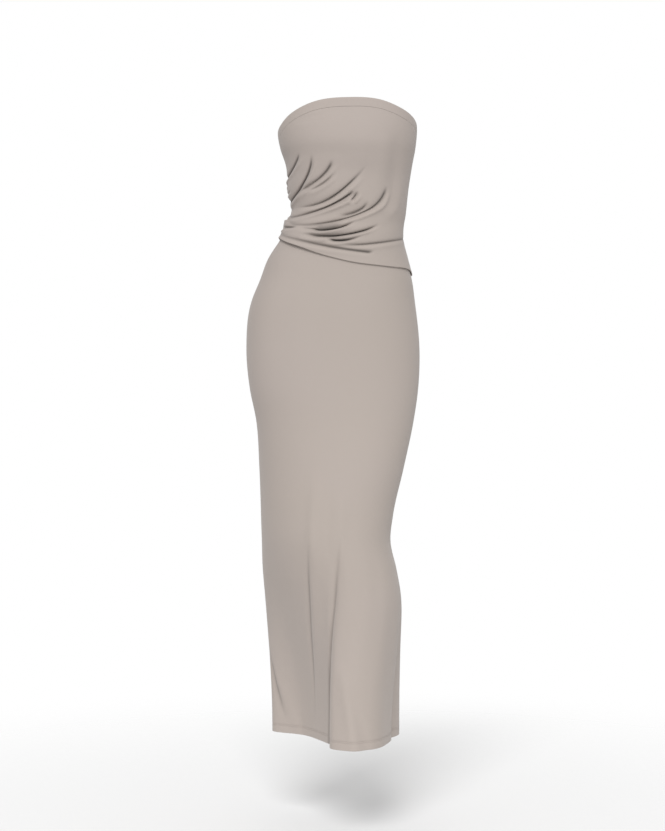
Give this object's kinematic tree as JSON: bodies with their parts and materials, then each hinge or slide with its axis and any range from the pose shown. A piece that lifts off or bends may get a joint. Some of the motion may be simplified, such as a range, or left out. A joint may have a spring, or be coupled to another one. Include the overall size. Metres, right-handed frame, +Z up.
{
  "type": "strapless column dress",
  "caption": "Long strapless column dress in smooth matte jersey, worn: a draped bodice layer gathered at one side seam over a narrow skirt with a level hem.",
  "frame": {"origin": "middle of the neckline opening, level with the tops of the side seams, where the neck band grips", "axes": "+Z up, out of the neckline; -Y the front; +X the wearer's left"},
  "size_m": [0.3379, 0.298, 1.2296],
  "materials": {
    "jersey": "smooth matte jersey knit with a faint sheen",
    "band": "the same jersey folded double"
  },
  "bodies": {
    "root": {"bodice_front": "jersey", "bodice_back": "jersey", "neck_band": "band", "skirt_front": "jersey", "skirt_back": "jersey"}
  },
  "joints": []
}
